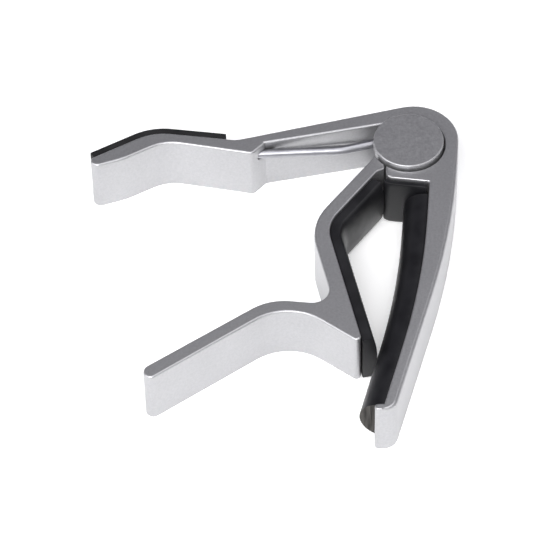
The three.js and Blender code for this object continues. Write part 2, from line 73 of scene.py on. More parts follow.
MM = 0.001
print("the clamp measures", [round((end - start) / MM, 1) for start, end in zip(*cad_box)], "mm")

# %% [markdown]
# ## The view
# The clamp lies flat and is seen from in front and well above. A catalogue shows such a thing
# through a long lens from far away, so that near and far parts keep their true proportions.
# An orthographic camera would do nearly the same, but a real lens leaves the slight narrowing
# that the eye expects. We place the camera by the point it looks at, its height above the
# horizon and its distance, then lean it a little.

# %% Camera
LOOK_AT = Vector((-27.43, -35.85, 13)) * MM
ELEVATION = math.radians(50.67)
DISTANCE = 705.9 * MM
LEAN = math.radians(-1.387)
LENS = 225
SENSOR = 36

camera_data = bpy.data.cameras.new("camera")
camera_data.lens = LENS
camera_data.sensor_width = SENSOR
camera_data.clip_start = 10 * MM
camera = bpy.data.objects.new("camera", camera_data)
bpy.context.collection.objects.link(camera)
backwards = Vector((0, -math.cos(ELEVATION), math.sin(ELEVATION)))
camera.location = LOOK_AT + backwards * DISTANCE
camera.rotation_mode = "QUATERNION"
camera.rotation_quaternion = backwards.to_track_quat("Z", "Y") @ Quaternion((0, 0, 1), LEAN)
bpy.context.scene.camera = camera
print("camera at", [round(c, 3) for c in camera.location])

# %% [markdown]
# ## How a finish is made up
# Every finish here is one Principled shader, with a noise to vary its colour and roughness
# and to tilt its surface. The other way is to wrap a picture round each piece, but a picture
# has to be unwrapped, shows its seams and blurs close up. Noise in the object's own space has
# no seams, and its grain is a plain number of features per metre. The helpers here lay out
# the nodes, so each finish below is a few lines. The first two start a finish and tilt its
# surface.


# %% Start a finish
def new_material(name):
    material = bpy.data.materials.new(name)
    material.use_nodes = True
    nodes = material.node_tree.nodes
    nodes.clear()
    output = nodes.new("ShaderNodeOutputMaterial")
    shader = nodes.new("ShaderNodeBsdfPrincipled")
    material.node_tree.links.new(shader.outputs["BSDF"], output.inputs["Surface"])
    return material, nodes, material.node_tree.links, shader


def bumped(nodes, links, shader, height, strength, distance):
    bump = nodes.new("ShaderNodeBump")
    bump.inputs["Strength"].default_value = strength
    bump.inputs["Distance"].default_value = distance
    links.new(height, bump.inputs["Height"])
    links.new(bump.outputs["Normal"], shader.inputs["Normal"])


print("every finish starts from a Principled shader")

# %% [markdown]
# ## Noise, and what it drives
# A noise is a grey value that wanders about a half, and most of it lies between 0.3 and 0.7.
# Fed straight in, it would give a finish with little contrast that nobody chose. So its
# middle range is spread over two numbers, or over two tones, that suit the real surface.


# %% Noise and what it drives
def object_noise(nodes, links, scale, detail=3.0, roughness=0.6, stretch=None):
    """A noise in the object's own space; scale is in features per metre."""
    place = nodes.new("ShaderNodeTexCoord")
    noise = nodes.new("ShaderNodeTexNoise")
    noise.inputs["Scale"].default_value = scale
    noise.inputs["Detail"].default_value = detail
    noise.inputs["Roughness"].default_value = roughness
    source = place.outputs["Object"]
    if stretch:
        mapping = nodes.new("ShaderNodeMapping")
        mapping.inputs["Scale"].default_value = stretch
        links.new(source, mapping.inputs["Vector"])
        source = mapping.outputs["Vector"]
    links.new(source, noise.inputs["Vector"])
    return noise.outputs["Fac"]


def between(nodes, links, value, low_out, high_out, low_in=0.3, high_in=0.7):
    """Spreads a noise's middle range over two chosen numbers."""
    spread = nodes.new("ShaderNodeMapRange")
    spread.inputs["From Min"].default_value = low_in
    spread.inputs["From Max"].default_value = high_in
    spread.inputs["To Min"].default_value = low_out
    spread.inputs["To Max"].default_value = high_out
    links.new(value, spread.inputs["Value"])
    return spread.outputs["Result"]


def two_tones(nodes, links, value, dark, light, low_in=0.3, high_in=0.7):
    """The same for colour: a noise's middle range runs from a dark tone to a light one."""
    ramp = nodes.new("ShaderNodeValToRGB")
    ramp.color_ramp.elements[0].position = low_in
    ramp.color_ramp.elements[0].color = (*dark, 1)
    ramp.color_ramp.elements[1].position = high_in
    ramp.color_ramp.elements[1].color = (*light, 1)
    links.new(value, ramp.inputs["Fac"])
    return ramp.outputs["Color"]


print("noises drive numbers and tones")

# %% [markdown]
# ## A satin silver coat
# The castings are light alloy with a thin silver coat that is full of fine metal flake. Up
# close it is grainy, because each flake catches the light in its own way. Plain metal of one
# roughness would look like chrome or like grey plastic. So one noise changes the tone and the
# roughness from fleck to fleck, a finer one tilts the surface, and a broad one lets the tone
# drift a little over the whole casting.

# %% Satin silver coat
FLAKE_SCALE = 4200
FLAKE_STRENGTH = 0.22
FLAKE_HEIGHT = 0.05 * MM
MOTTLE_SCALE = 2000
MOTTLE_ROUGHNESS = (0.36, 0.46)
DRIFT_SCALE = 60
DRIFT_TONES = ((0.95, 0.95, 0.95), (1, 1, 1))
METAL_IN_COAT = 0.86
LACQUER = 0.08
LACQUER_ROUGHNESS = 0.3


def satin_metal(name, dark, light):
    material, nodes, links, shader = new_material(name)
    mottle = object_noise(nodes, links, MOTTLE_SCALE, detail=2.0, roughness=0.7)
    flake = object_noise(nodes, links, FLAKE_SCALE, detail=1.0)
    drift = object_noise(nodes, links, DRIFT_SCALE, detail=2.0)
    fleck_tone = two_tones(nodes, links, mottle, dark, light, 0.25, 0.75)
    drifting = nodes.new("ShaderNodeMixRGB")
    drifting.blend_type = "MULTIPLY"
    drifting.inputs["Fac"].default_value = 1
    links.new(fleck_tone, drifting.inputs["Color1"])
    links.new(two_tones(nodes, links, drift, *DRIFT_TONES), drifting.inputs["Color2"])
    links.new(drifting.outputs["Color"], shader.inputs["Base Color"])
    links.new(between(nodes, links, mottle, *MOTTLE_ROUGHNESS), shader.inputs["Roughness"])
    shader.inputs["Metallic"].default_value = METAL_IN_COAT
    shader.inputs["Specular IOR Level"].default_value = 0.5
    shader.inputs["Coat Weight"].default_value = LACQUER
    shader.inputs["Coat Roughness"].default_value = LACQUER_ROUGHNESS
    bumped(nodes, links, shader, flake, FLAKE_STRENGTH, FLAKE_HEIGHT)
    return material


SATIN = satin_metal("satin_silver_coat", dark=(0.405, 0.405, 0.417), light=(0.49, 0.49, 0.502))
print("made", SATIN.name)

# %% [markdown]
# ## Bright wire and turned steel
# The spring is hard drawn wire, which its die has polished. The pin is turned, so it is paler
# and its grain is finer. Both are bare metal: the shader is fully metallic, a broad noise
# gives the stains of handling, and a fine one varies the shine. A mirror-smooth metal would
# be quicker to make, but it shows hard reflections that worn steel never has.

# %% Steel
STEEL_BUMP = 0.08
STEEL_GRAIN_HEIGHT = 0.03 * MM


def steel(name, dark, light, roughness, grain_scale):
    material, nodes, links, shader = new_material(name)
    grain = object_noise(nodes, links, grain_scale, detail=4.0)
    stains = object_noise(nodes, links, grain_scale / 6, detail=2.0)
    links.new(two_tones(nodes, links, stains, dark, light), shader.inputs["Base Color"])
    links.new(between(nodes, links, grain, *roughness), shader.inputs["Roughness"])
    shader.inputs["Metallic"].default_value = 1.0
    bumped(nodes, links, shader, grain, STEEL_BUMP, STEEL_GRAIN_HEIGHT)
    return material


BRIGHT = steel(
    "bright_spring_wire", dark=(0.32, 0.32, 0.345), light=(0.4, 0.4, 0.425),
    roughness=(0.32, 0.42), grain_scale=2600,
)
TURNED = steel(
    "turned_steel", dark=(0.46, 0.46, 0.48), light=(0.6, 0.6, 0.62),
    roughness=(0.28, 0.42), grain_scale=3600,
)
print("made", BRIGHT.name, "and", TURNED.name)

# %% [markdown]
# ## Rubber
# Moulded rubber is nearly black, but never even: talc and handling leave paler, duller
# patches, and the mould leaves a fine skin. One flat black would swallow the shape, so one
# noise drives the tone and the roughness together, and a second one makes the skin. The
# rubber on the jaws is shiny, and the grip's is dull.

# %% Moulded rubber
PATCH_SCALE = 180
SKIN_BUMP = 0.25


def rubber(name, dark, light, roughness, shine, grain_scale, grain_height):
    material, nodes, links, shader = new_material(name)
    patches = object_noise(nodes, links, PATCH_SCALE)
    grain = object_noise(nodes, links, grain_scale)
    links.new(two_tones(nodes, links, patches, dark, light), shader.inputs["Base Color"])
    links.new(between(nodes, links, patches, *roughness), shader.inputs["Roughness"])
    shader.inputs["Specular IOR Level"].default_value = shine
    bumped(nodes, links, shader, grain, SKIN_BUMP, grain_height)
    return material


BLACK_RUBBER = rubber(
    "moulded_black_rubber", dark=(0.0035, 0.0035, 0.0045), light=(0.008, 0.008, 0.01),
    roughness=(0.34, 0.5), shine=0.5, grain_scale=2400, grain_height=0.04 * MM,
)
GRIP_RUBBER = rubber(
    "matt_grip_rubber", dark=(0.008, 0.008, 0.0085), light=(0.018, 0.018, 0.019),
    roughness=(0.6, 0.8), shine=0.2, grain_scale=3000, grain_height=0.1 * MM,
)
print("made", BLACK_RUBBER.name, "and", GRIP_RUBBER.name)

# %% [markdown]
# ## A cut end
# The jaw's rubber was cut from a long length, and the knife dragged through it, so its ends
# are paler and carry upright lines. The lines could be modelled, but they are only about a
# tenth of a millimetre deep: a noise squeezed across and drawn out upright is enough.

# %% Cut rubber
CUT_SCALE = 700
UPRIGHT = (3.0, 3.0, 0.25)


def cut_rubber(name, dark, light):
    material, nodes, links, shader = new_material(name)
    lines = object_noise(nodes, links, CUT_SCALE, stretch=UPRIGHT)
    links.new(two_tones(nodes, links, lines, dark, light), shader.inputs["Base Color"])
    links.new(between(nodes, links, lines, 0.75, 0.55), shader.inputs["Roughness"])
    shader.inputs["Specular IOR Level"].default_value = 0.15
    bumped(nodes, links, shader, lines, 0.5, 0.12 * MM)
    return material


CUT_RUBBER = cut_rubber(
    "cut_black_rubber", dark=(0.016, 0.015, 0.014), light=(0.07, 0.066, 0.062)
)
print("made", CUT_RUBBER.name)

# %% [markdown]
# ## Nylon
# The sleeve and the two thin washers are natural nylon: off white and slightly waxy. White
# paint would look hard beside it, so a little light is let in under the surface.

# %% Nylon
CLOUD_SCALE = 500
LIGHT_LET_IN = 0.15
LIGHT_REACH = 0.6 * MM


def nylon(name, dark, light):
    material, nodes, links, shader = new_material(name)
    cloud = object_noise(nodes, links, CLOUD_SCALE)
    links.new(two_tones(nodes, links, cloud, dark, light), shader.inputs["Base Color"])
    links.new(between(nodes, links, cloud, 0.4, 0.55), shader.inputs["Roughness"])
    shader.inputs["Subsurface Weight"].default_value = LIGHT_LET_IN
    shader.inputs["Subsurface Scale"].default_value = LIGHT_REACH
    bumped(nodes, links, shader, cloud, 0.1, 0.05 * MM)
    return material


NYLON = nylon("natural_nylon", dark=(0.74, 0.71, 0.63), light=(0.84, 0.81, 0.74))
print("made", NYLON.name)

# %% [markdown]
# ## How a piece joins the clamp
# A finished mesh needs a finish, the solid that it stands in for, and the body that it moves
# with: the frame, or the lever that turns. We could repeat that at every piece, but one
# helper keeps it the same for all. Shading is smooth except at real corners, and it is
# weighted by face size, so that a broad flat face stays flat beside a narrow rounded edge.

# %% Helpers for pieces
FRAME_BODY = "frame_body"
LEVER_BODY = "lever_body"


def add_piece(mesh, name, body, materials, node):
    """Puts a mesh in the place of one solid; a piece that blends two bodies has body None."""
    piece = bpy.data.objects.new(name, mesh)
    bpy.context.collection.objects.link(piece)
    # Clearing the materials also clears each face's choice of one, so the choices are kept.
    choices = [face.material_index for face in mesh.polygons]
    mesh.materials.clear()
    for material in materials:
        mesh.materials.append(material)
    mesh.polygons.foreach_set("material_index", choices)
    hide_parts(node)
    if body:
        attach(piece, body)
    return piece


def soften(piece, corner):
    """Smooth shading, broken at corners sharper than so many degrees."""
    piece.data.polygons.foreach_set("use_smooth", [True] * len(piece.data.polygons))
    piece.data.set_sharp_from_angle(angle=math.radians(corner))
    weighted = piece.modifiers.new("even_shading", "WEIGHTED_NORMAL")
    weighted.keep_sharp = True


def apply_modifiers(piece):
    graph = bpy.context.evaluated_depsgraph_get()
    done = bpy.data.meshes.new_from_object(piece.evaluated_get(graph))
    piece.modifiers.clear()
    piece.data = done


print("pieces ride on", FRAME_BODY, "or", LEVER_BODY)

# %% [markdown]
# ## The two castings: how round each edge gets
# A die casting leaves its mould with no sharp edge, and the polisher rounds it more. Both
# outlines could be drawn afresh with soft edges, but the solids have them already, so we
# round the solids with a bevel. A bevel of one size would look wrong: the back of the jaw is
# rounded by nearly a millimetre, the edges beside the rubber much less, and those under the
# cap are only just broken. So each edge gets a weight by where it lies. On the jaw the weight
# fades with the way that the side faces, because a sudden step would tear the bevel there.

# %% Weights for the edges of a casting
ROUNDING = 0.85 * MM
JAW_WEIGHT = 1.0
TOP_WEIGHT = 0.56
LIP_WEIGHT = 0.42
BOTTOM_WEIGHT = 0.36
PAD_WEIGHT = 0.34
FINE_WEIGHT = 0.22
POCKET_REACH = 8.3 * MM
HEAD_FRONT = -7 * MM
JAW_BACK = -6 * MM
JAW_LEFT = -12 * MM
TIP_START = -60 * MM
LEVER_LEFT = -19 * MM
LIP_REACH = 1.6 * MM
LIP_RIGHT = -6.5 * MM
SHARP_EDGE = math.radians(48)
SAME_HEIGHT = 0.01 * MM

casting_low, casting_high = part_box("frame")


def beside_rubber(middle, side):
    """Whether an outline edge runs along a face that carries a pad."""
    under_jaw = side.x < -0.8 and JAW_LEFT < middle.x
    under_head = side.y < -0.95 and JAW_BACK < middle.x
    beside_neck = side.x > 0.5 and LEVER_LEFT < middle.x < JAW_BACK
    return middle.y < HEAD_FRONT and (under_jaw or under_head or beside_neck)


def outline_weight(edge):
    """How round an edge gets, from 0 to 1, by where it is."""
    if len(edge.link_faces) != 2 or edge.calc_face_angle(0) < SHARP_EDGE:
        return 0
    start, end = (v.co for v in edge.verts)
    if max(start.xy.length, end.xy.length) < POCKET_REACH:
        return FINE_WEIGHT
    if max(abs(start.z - casting_low[2]), abs(end.z - casting_low[2])) < SAME_HEIGHT:
        return BOTTOM_WEIGHT
    if max(abs(start.z - casting_high[2]), abs(end.z - casting_high[2])) > SAME_HEIGHT:
        return FINE_WEIGHT
    if max(start.y, end.y) < casting_low[1] + LIP_REACH and max(start.x, end.x) < LIP_RIGHT:
        return LIP_WEIGHT
    side = min((face.normal for face in edge.link_faces), key=lambda normal: abs(normal.z))
    middle = (start + end) / 2
    on_jaw = middle.y < HEAD_FRONT and middle.x > JAW_BACK or middle.y < TIP_START
    if on_jaw and side.x > 0:
        return TOP_WEIGHT + (JAW_WEIGHT - TOP_WEIGHT) * side.x
    return PAD_WEIGHT if beside_rubber(middle, side) else TOP_WEIGHT


print("the castings are", round((casting_high[2] - casting_low[2]) / MM, 2), "mm thick")

# %% [markdown]
# ## Loops that a wide bevel leaves
# Where an outline turns tightly inwards, a bevel wider than the turn overshoots, and the
# flat face's new outline crosses itself in a tiny loop. A renderer may then cover half of the
# piece with a stray face. Blender can clamp the bevel, but that shrinks it along the whole
# casting because of one corner. We find each small loop instead, and merge its points where
# its two sides cross.


# %% Find and close small loops
LONGEST_LOOP = 7
MOST_LOOPS = 40
BROAD_FACE = 20
PARALLEL = 1e-14


def cross(a, b):
    """Positive where b turns left from a, seen from above."""
    return a.x * b.y - a.y * b.x


def meeting_point(a, b, c, d):
    """Where the stretch a-b crosses the stretch c-d in plan, or None."""
    along, across, gap = b - a, d - c, c - a
    spread = cross(along, across)
    if abs(spread) < PARALLEL:
        return None
    first = cross(gap, across) / spread
    second = cross(gap, along) / spread
    return a + along * first if 0 < first < 1 and 0 < second < 1 else None


def small_loop(face):
    """The points of the first small loop in a face's outline, and where its sides cross."""
    verts = list(face.verts)
    for i in range(len(verts)):
        for points in range(2, LONGEST_LOOP + 1):
            ring = [verts[(i + k) % len(verts)] for k in range(points + 2)]
            crossing = meeting_point(ring[0].co, ring[1].co, ring[-2].co, ring[-1].co)
            if crossing:
                return ring[1:-1], crossing
    return None


def close_loops(mesh):
    work = bmesh.new()
    work.from_mesh(mesh)
    closed = 0
    while closed <= MOST_LOOPS:
        flat = [f for f in work.faces if len(f.verts) > BROAD_FACE and abs(f.normal.z) > 0.5]
        loop = next(filter(None, map(small_loop, flat)), None)
        if loop is None:
            break
        bmesh.ops.pointmerge(work, verts=loop[0], merge_co=loop[1])
        closed += 1
    work.to_mesh(mesh)
    work.free()
    return closed


print("loops of up to", LONGEST_LOOP, "points will be closed")

# %% [markdown]
# ## The two castings: bevel
# Each solid is copied, so that the original stays as it was. Its flat faces come cut into
# triangles, whose needless edges would pinch the bevel at every corner, so they are dissolved
# first. Then the bevel reads the weights, and the loops that it leaves are closed.

# %% Frame and lever castings
SAME_POINT = 0.004 * MM
SAME_PLANE = math.radians(0.6)
BEVEL_STEPS = 4


def casting(node, name, body):
    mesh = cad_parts[node].data.copy()
    work = bmesh.new()
    work.from_mesh(mesh)
    bmesh.ops.remove_doubles(work, verts=work.verts, dist=SAME_POINT)
    bmesh.ops.dissolve_limit(work, angle_limit=SAME_PLANE, verts=work.verts, edges=work.edges)
    weights = work.edges.layers.float.new("bevel_weight_edge")
    for edge in work.edges:
        edge[weights] = outline_weight(edge)
    rounded = sum(1 for edge in work.edges if edge[weights] > FINE_WEIGHT)
    work.to_mesh(mesh)
    work.free()
    piece = add_piece(mesh, name, body, [SATIN], node)
    bevel = piece.modifiers.new("rounded_edges", "BEVEL")
    bevel.limit_method = "WEIGHT"
    bevel.width = ROUNDING
    bevel.segments = BEVEL_STEPS
    bevel.use_clamp_overlap = False
    apply_modifiers(piece)
    closed = close_loops(piece.data)
    soften(piece, 30)
    print(name, "has", rounded, "rounded outline edges,", closed, "loops closed,",
          len(piece.data.polygons), "faces")


casting("frame", "frame_casting", FRAME_BODY)
casting("trigger_lever", "lever_casting", LEVER_BODY)

# %% [markdown]
# ## Pieces turned on a lathe
# The cap, the pin, the sleeve and the washers are all turned. A cylinder with a bevel would
# do for one of them, but the pin has a head and a groove. So each is a half profile spun
# about the upright axis, as on the lathe, and the profile holds every broken corner. Many
# steps round keep the cap's rim truly round.

# %% Spin a profile
TURNS = 160


def turned(name, profile, material, node):
    """profile is (radius, height) points in millimetres; points on the axis close it."""
    work = bmesh.new()
    rings = []
    for radius, height in profile:
        if radius == 0:
            rings.append([work.verts.new((0, 0, height * MM))])
            continue
        rings.append([
            work.verts.new((
                radius * MM * math.cos(2 * math.pi * i / TURNS),
                radius * MM * math.sin(2 * math.pi * i / TURNS),
                height * MM,
            ))
            for i in range(TURNS)
        ])
    is_hollow = profile[0][0] != 0
    for one, two in zip(rings, rings[1:] + rings[:1] if is_hollow else rings[1:]):
        for i in range(TURNS):
            k = (i + 1) % TURNS
            corners = []
            for ring, index in ((one, i), (one, k), (two, k), (two, i)):
                vertex = ring[index % len(ring)]
                if vertex not in corners:
                    corners.append(vertex)
            if len(corners) > 2:
                work.faces.new(corners)
    bmesh.ops.recalc_face_normals(work, faces=work.faces)
    mesh = bpy.data.meshes.new(name)
    work.to_mesh(mesh)
    work.free()
    piece = add_piece(mesh, name, FRAME_BODY, [material], node)
    soften(piece, 35)
    print(name, len(mesh.polygons), "faces")


print("turned pieces have", TURNS, "sides")

# %% [markdown]
# ## Corners and heights of a profile
# A turner breaks every outer corner, so the profiles need quarter rounds, above and below.
# Heights could be typed in, but they are already in the solids: measuring each solid keeps
# the finer piece in its place if the clamp is ever made thicker.


# %% Helpers for profiles
def outer_round(radius, height, size, steps, upper):
    """The outer corner of a profile at a radius and height, as a quarter round."""
    start = 0 if upper else -90
    middle = height - size if upper else height + size
    angles = [math.radians(start + 90 * i / steps) for i in range(steps + 1)]
    return [(radius - size + size * math.cos(a), middle + size * math.sin(a)) for a in angles]


def span(node):
    """A round node's outer radius, bottom and top in millimetres."""
    start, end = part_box(node)
    return (end[0] - start[0]) / 2 / MM, start[2] / MM, end[2] / MM


print("the pin's head has a radius of", round(span("pivot_pin")[0], 2), "mm")

# %% [markdown]
# ## Cap
# The round cap is a disc of the same coated alloy, with a blind hole that is pressed over the
# end of the pin. Its top is flat, and a small round breaks its rim: that is the bright ring
# that shows from above. A sharp rim would show no ring at all.

# %% Cap
CAP_EDGE = 0.3
CAP_BORE = 2.6
CAP_SKIN = 0.9
SMALL_EDGE = 0.1
cap_radius, cap_bottom, cap_top = span("pivot_cap")
cap_profile = (
    [(0, cap_top - CAP_SKIN), (CAP_BORE, cap_top - CAP_SKIN), (CAP_BORE, cap_bottom)]
    + outer_round(cap_radius, cap_bottom, SMALL_EDGE, 3, upper=False)
    + outer_round(cap_radius, cap_top, CAP_EDGE, 8, upper=True)
    + [(0, cap_top)]
)
turned("round_cap", cap_profile, SATIN, "pivot_cap")

# %% [markdown]
# ## Pin
# The lever turns on a headed pin that comes up from below, and a groove near its top takes
# the split ring. The groove could be cut with a boolean, but in a profile it is only four
# more points. They are placed by the solid ring, with a little room above and below it.

# %% Pin
PIN_RADIUS = 2.5
PIN_CHAMFER = 0.3
GROOVE_RADIUS = 2.1
GROOVE_ROOM = 0.05
HEAD_HEIGHT = 1.0
HEAD_EDGE = 0.25
_, clip_bottom, clip_top = span("retaining_clip")
head_radius, _, pin_top = span("pivot_pin")
pin_profile = (
    [(0, 0)]
    + outer_round(head_radius, 0, HEAD_EDGE, 4, upper=False)
    + outer_round(head_radius, HEAD_HEIGHT, SMALL_EDGE, 3, upper=True)
    + [
        (PIN_RADIUS, HEAD_HEIGHT),
        (PIN_RADIUS, clip_bottom - GROOVE_ROOM),
        (GROOVE_RADIUS, clip_bottom - GROOVE_ROOM),
        (GROOVE_RADIUS, clip_top + GROOVE_ROOM),
        (PIN_RADIUS, clip_top + GROOVE_ROOM),
        (PIN_RADIUS, pin_top - PIN_CHAMFER),
        (PIN_RADIUS - PIN_CHAMFER, pin_top),
        (0, pin_top),
    ]
)
turned("turning_pin", pin_profile, TURNED, "pivot_pin")

# %% [markdown]
# ## Sleeve and washers
# A nylon sleeve goes round the pin, one washer lies under the lever's hub and another over
# the coil. They are one shape in three sizes, a ring with its outer corners broken, so one
# small profile serves them all.

# %% Sleeve and washers
SLEEVE_BORE = 2.56
WASHER_ROOM = 0.06
RING_CHAMFER = 0.05


def ring_profile(inner, outer, bottom, top):
    return [
        (inner, bottom), (outer - RING_CHAMFER, bottom), (outer, bottom + RING_CHAMFER),
        (outer, top - RING_CHAMFER), (outer - RING_CHAMFER, top), (inner, top),
    ]


sleeve_radius, sleeve_bottom, sleeve_top = span("pivot_bush")
sleeve_profile = ring_profile(SLEEVE_BORE, sleeve_radius, sleeve_bottom, sleeve_top)
turned("nylon_sleeve", sleeve_profile, NYLON, "pivot_bush")
washer_bores = {"lower_washer": sleeve_radius + WASHER_ROOM, "upper_washer": SLEEVE_BORE}
for washer, bore in washer_bores.items():
    turned("thin_" + washer, ring_profile(bore, *span(washer)), NYLON, washer)

# %% [markdown]
# ## The split ring
# The ring that holds the stack on the pin is stamped from spring sheet and has an open side.
# Stamped sheet has crisp edges, and so has its solid, so this one stays as it is and only
# takes its finish.

# %% Keep the split ring
split_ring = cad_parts["retaining_clip"]
for material_slot in split_ring.material_slots:
    material_slot.material = BRIGHT
print("kept", split_ring.name)

# %% [markdown]
# ## Straight runs
# The rubber strips and the wire all follow a path of straight runs joined by bends. We could
# list dozens of points on each, but a maker would give a few lines and a radius for each
# bend. A line here is a point and a heading, and corners are where two lines meet. Everything
# is in millimetres, and only becomes metres when a mesh is made.


# %% Helpers for lines
def line(x, y, degrees):
    angle = math.radians(degrees)
    return Vector((x, y)), Vector((math.cos(angle), math.sin(angle)))


def beside(one, distance):
    """The same line, moved to the left of its heading."""
    point, way = one
    return point + Vector((-way.y, way.x)) * distance, way


def meet(one, two):
    (start, way), (other_start, other_way) = one, two
    return start + way * (cross(other_start - start, other_way) / cross(way, other_way))


def at_x(one, x):
    point, way = one
    return point + way * ((x - point.x) / way.x)


def at_y(one, y):
    point, way = one
    return point + way * ((y - point.y) / way.y)


corner = meet(line(0, 0, 0), line(10, 5, -90))
print("two lines meet at", tuple(corner))

# %% [markdown]
# ## Round bends
# At each corner an arc replaces the point. Its centre lies on the line that halves the
# corner, so it touches both runs. The whole path is then filled in at one even spacing,
# because a strip whose rings stand far apart in one place and close in another shades badly.


# %% Helper for a path
def rotated(way, angle):
    c, s = math.cos(angle), math.sin(angle)
    return Vector((way.x * c - way.y * s, way.x * s + way.y * c))


def rounded_path(corners, spacing):
    """corners is a list of (point, radius); the ends have radius 0."""
    points = [corners[0][0]]
    for (before, _), (corner, radius), (after, _) in zip(corners, corners[1:], corners[2:]):
        back = (before - corner).normalized()
        on = (after - corner).normalized()
        half = back.angle(on) / 2
        centre = corner + (back + on).normalized() * (radius / math.sin(half))
        start = corner + back * (radius / math.tan(half)) - centre
        turn = math.pi - 2 * half
        if cross(on, back) < 0:
            turn = -turn
        steps = max(3, math.ceil(abs(turn) * radius / spacing))
        points += [centre + rotated(start, turn * i / steps) for i in range(steps + 1)]
    points.append(corners[-1][0])
    filled = [points[0]]
    for point in points[1:]:
        last = filled[-1]
        count = max(1, math.ceil((point - last).length / spacing))
        filled += [last.lerp(point, (i + 1) / count) for i in range(count)]
    return filled


bend = [(Vector((0, 0)), 0), (Vector((10, 0)), 4), (Vector((10, 10)), 0)]
print("a bend of 4 mm takes", len(rounded_path(bend, 0.5)), "points")

# %% [markdown]
# ## A strip of rubber
# Each pad is a moulded strip with the same section from end to end: a flat back that is
# glued on, short upright sides, and a crown. A block with a bevel would have one round at
# each corner, but a real crown is one long curve, so the section is drawn as half an ellipse.

# %% Section of a strip
SIDE_STEP = 0.1
BACK_STEP = 0.25


def crowned(width, edge, crown, steps):
    """A strip's section, as (height, outward) points: back, upright sides and crown."""
    reach = width / 2
    points = [(-reach + SIDE_STEP, 0), (reach - SIDE_STEP, 0), (reach, BACK_STEP)]
    points += [
        (reach * math.cos(math.pi * i / (2 * steps)),
         edge + (crown - edge) * math.sin(math.pi * i / (2 * steps)))
        for i in range(steps + 1)
    ]
    points += [(-height, out) for height, out in points[3:-1][::-1]]
    points.append((-reach, BACK_STEP))
    return points


print("a crown of 8 steps a side has", len(crowned(12, edge=1, crown=2, steps=8)), "points")

# %% [markdown]
# ## Laying the strip
# The section is set square to the path at every point, and neighbouring sections are joined
# with faces. A curve with a bevel object would do this in one move, but it twists and thins
# in tight bends, and its ends could not have a finish of their own.

# %% Lay a strip along a path
GLUE = 0.1
MIDDLE = (casting_low[2] + casting_high[2]) / 2 / MM


def strip(name, path, section, body, materials, node):
    """Outward is left of the path; a second material goes on the two ends."""
    work = bmesh.new()
    rings = []
    for i, point in enumerate(path):
        ahead = path[min(i + 1, len(path) - 1)]
        behind = path[max(i - 1, 0)]
        way = (ahead - behind).normalized()
        out = Vector((-way.y, way.x))
        rings.append([
            work.verts.new(Vector((
                point.x + out.x * outward,
                point.y + out.y * outward,
                MIDDLE + height,
            )) * MM)
            for height, outward in section
        ])
    for one, two in zip(rings, rings[1:]):
        for i in range(len(section)):
            k = (i + 1) % len(section)
            work.faces.new((one[i], one[k], two[k], two[i]))
    for ends in (rings[0][::-1], rings[-1]):
        work.faces.new(ends).material_index = len(materials) - 1
    bmesh.ops.recalc_face_normals(work, faces=work.faces)
    mesh = bpy.data.meshes.new(name)
    work.to_mesh(mesh)
    work.free()
    piece = add_piece(mesh, name, body, materials, node)
    soften(piece, 40)
    print(name, len(mesh.polygons), "faces")


print("strips are centred", round(MIDDLE, 2), "mm above the floor")

# %% [markdown]
# ## Fretboard rubber
# This is the piece that presses the strings: a D of black rubber, nearly a half round, glued
# along the inside of the long jaw from the head to the lip. The jaw is slightly curved for an
# arched fretboard. Bending a straight strip with a modifier would work too, but a path with
# one very wide bend keeps the glued face exactly beside the metal. Both ends are knife cuts.

# %% Fretboard rubber
FRET_BEND = 175
FRET_ENDS = (-67.2, -12.45)
jaw_root = beside(line(3.9, -10.8, 84.46), GLUE)
jaw_tip = beside(line(-3.6, -54, 74), GLUE)
fret_path = rounded_path(
    [
        (at_y(jaw_tip, FRET_ENDS[0]), 0),
        (meet(jaw_tip, jaw_root), FRET_BEND),
        (at_y(jaw_root, FRET_ENDS[1]), 0),
    ],
    spacing=0.8,
)
strip(
    "fret_rubber", fret_path, crowned(9.6, edge=0.7, crown=5.1, steps=16),
    FRAME_BODY, [BLACK_RUBBER, CUT_RUBBER], "fret_pad",
)

# %% [markdown]
# ## Neck rubber
# The lever pushes on the varnished back of the neck, so a thick strip of rubber covers its
# inner face, from under the head, round the elbow and down the straight bar. Here the bend is
# tight, so the rings stand closer together. It moves with the lever.

# %% Neck rubber
ELBOW_BEND = 7.9
NECK_ENDS = (-8.8, -51.6)
neck_face = beside(line(-12, -14.08, 52.54), -GLUE)
bar_face = beside(line(-16.25, -28, -78.3), GLUE)
neck_path = rounded_path(
    [
        (at_y(neck_face, NECK_ENDS[0]), 0),
        (meet(neck_face, bar_face), ELBOW_BEND),
        (at_y(bar_face, NECK_ENDS[1]), 0),
    ],
    spacing=0.6,
)
strip(
    "neck_rubber", neck_path, crowned(12, edge=1.8, crown=3.0, steps=10),
    LEVER_BODY, [BLACK_RUBBER], "neck_pad",
)

# %% [markdown]
# ## Head rubber
# A thin liner covers the lower face of the head and turns up round its end, so that the neck
# can't knock on bare metal. The end of the head is itself a round, so the last stretch of the
# path is an arc about that round's centre and needs no corner.

